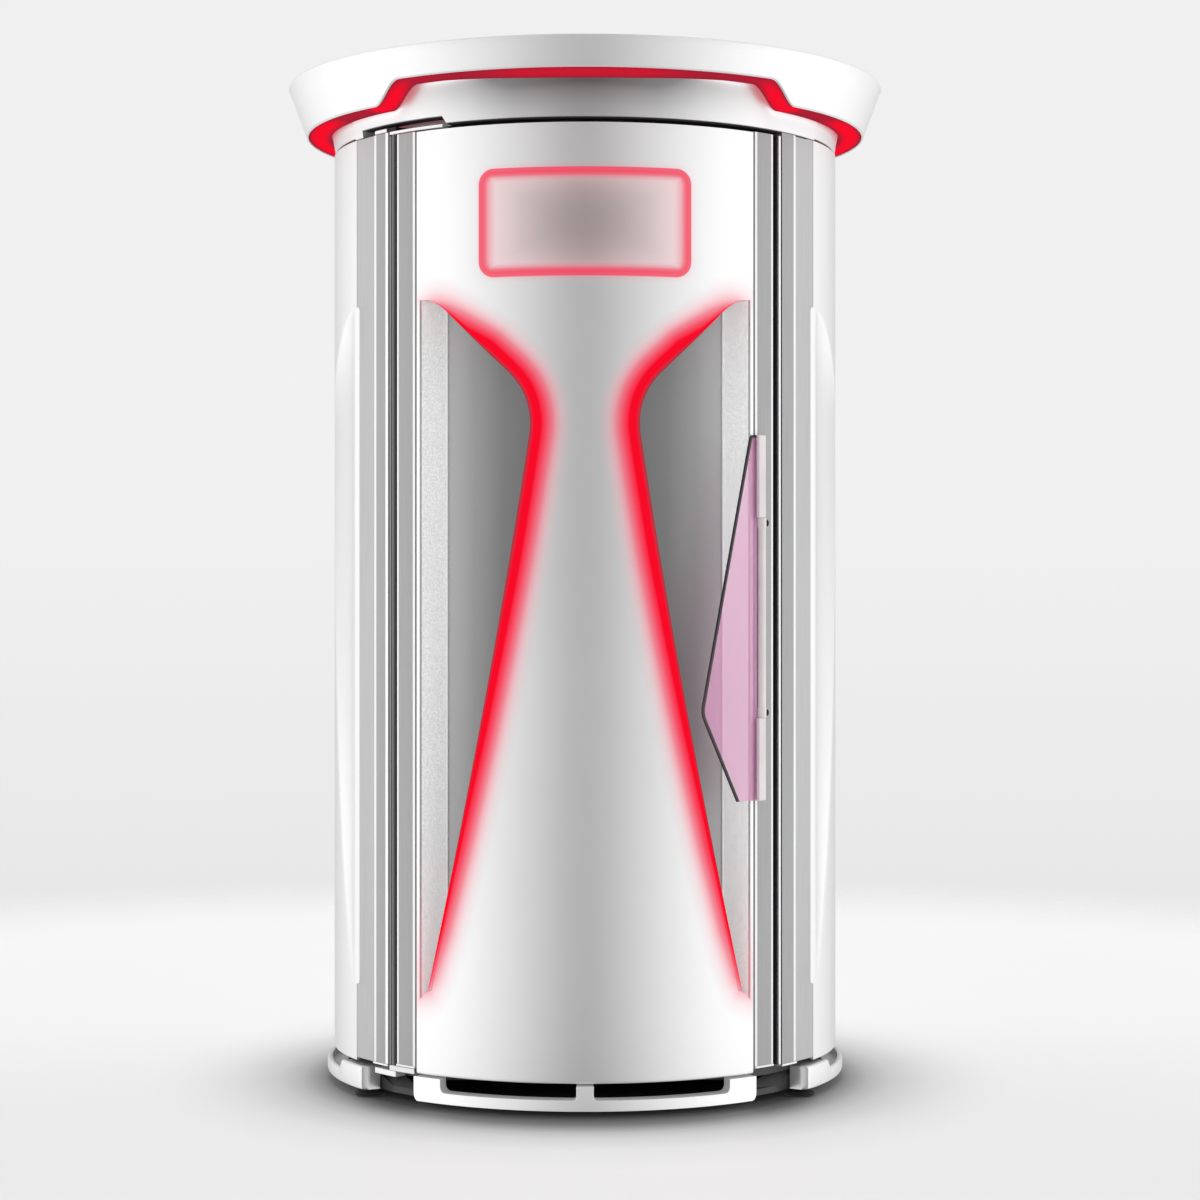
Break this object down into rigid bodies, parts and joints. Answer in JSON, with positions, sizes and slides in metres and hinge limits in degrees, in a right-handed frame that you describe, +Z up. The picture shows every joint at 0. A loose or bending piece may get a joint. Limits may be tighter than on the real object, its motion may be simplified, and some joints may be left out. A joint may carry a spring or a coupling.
{
  "type": "red light therapy booth",
  "caption": "Round stand-up light therapy booth with a curved swinging door, recessed D windows edged in red light, a clear wing pull and a flared canopy.",
  "frame": {"origin": "centre of the booth's floor footprint, at floor level", "axes": "+Z up; the door faces -Y; +X to the right of a person facing the door"},
  "size_m": [1.38, 1.38, 2.3],
  "materials": {
    "white_gloss": "glossy white moulded skin",
    "brushed_aluminium": "satin anodised",
    "steel": "satin",
    "black_rubber": "matte",
    "charcoal_plastic": "matte",
    "grey_panel": "satin grey",
    "led_board": "white lamp board",
    "clear_acrylic": "clear polished",
    "frosted_acrylic": "frosted",
    "red_light": "lit red diffuser",
    "red_plastic": "gloss red"
  },
  "bodies": {
    "booth": {"side_shell_left": "white_gloss", "side_shell_right": "white_gloss", "rear_panel": "white_gloss", "canopy_fascia": "white_gloss", "canopy_neck": "white_gloss", "top_cover": "white_gloss", "base_skirt_left": "white_gloss", "base_skirt_right": "white_gloss", "front_bumper": "white_gloss", "frame_post_hinge": "brushed_aluminium", "frame_post_latch": "brushed_aluminium", "side_trim_left": "brushed_aluminium", "side_trim_right": "brushed_aluminium", "roof_plate": "brushed_aluminium", "base_plate": "brushed_aluminium", "led_driver": "brushed_aluminium", "hinge_bracket_top": "steel", "hinge_bracket_bottom": "steel", "foot_front_left": "black_rubber", "foot_front_right": "black_rubber", "foot_rear_left": "black_rubber", "foot_rear_right": "black_rubber", "floor_mat": "black_rubber", "door_seal": "black_rubber", "catch_magnet": "charcoal_plastic", "power_inlet": "charcoal_plastic", "fan_duct": "charcoal_plastic", "fan_motor": "charcoal_plastic", "platform": "grey_panel", "led_panel_left": "led_board", "led_panel_right": "led_board", "shield_left": "clear_acrylic", "shield_right": "clear_acrylic", "canopy_light_ring": "red_light"},
    "door": {"door_panel": "white_gloss", "door_stile_hinge": "brushed_aluminium", "door_stile_latch": "brushed_aluminium", "door_top_rail": "brushed_aluminium", "door_bottom_rail": "brushed_aluminium", "window_wall_left": "frosted_acrylic", "window_wall_right": "frosted_acrylic", "window_pane_left": "grey_panel", "window_pane_right": "grey_panel", "window_lip_left": "grey_panel", "window_lip_right": "grey_panel", "light_strip_left": "red_light", "light_strip_right": "red_light", "sign_panel": "frosted_acrylic", "door_led_panel": "led_board", "door_shield": "clear_acrylic", "pull_clamp_upper": "brushed_aluminium", "pull_clamp_lower": "brushed_aluminium", "pull_fin": "clear_acrylic", "pull_rod": "brushed_aluminium", "hinge_arm_top": "steel", "hinge_arm_bottom": "steel", "hinge_rod": "charcoal_plastic"},
    "fan_rotor": {"fan_rotor": "charcoal_plastic"},
    "start_button": {"start_button": "red_plastic"},
    "main_switch": {"main_switch": "red_plastic"}
  },
  "joints": [
    {"name": "door_hinge", "type": "hinge", "parent": "booth", "child": "door", "pos_m": [-0.41996, -0.39714, 0.084], "axis": [0, 0, -1], "range_deg": [0, 110]},
    {"name": "fan_spin", "type": "hinge", "parent": "booth", "child": "fan_rotor", "pos_m": [0, 0, 2.21], "axis": [0, 0, 1], "continuous": true},
    {"name": "start_button_press", "type": "slide", "parent": "booth", "child": "start_button", "axis": [0.7711, -0.6368, 0], "range_m": [0, 0.003], "stiffness_N_per_m": 600, "springref_m": -0.002},
    {"name": "main_switch_rock", "type": "hinge", "parent": "booth", "child": "main_switch", "pos_m": [0.03, 0.58, 0.185], "axis": [1, 0, 0], "range_deg": [0, 20]}
  ]
}
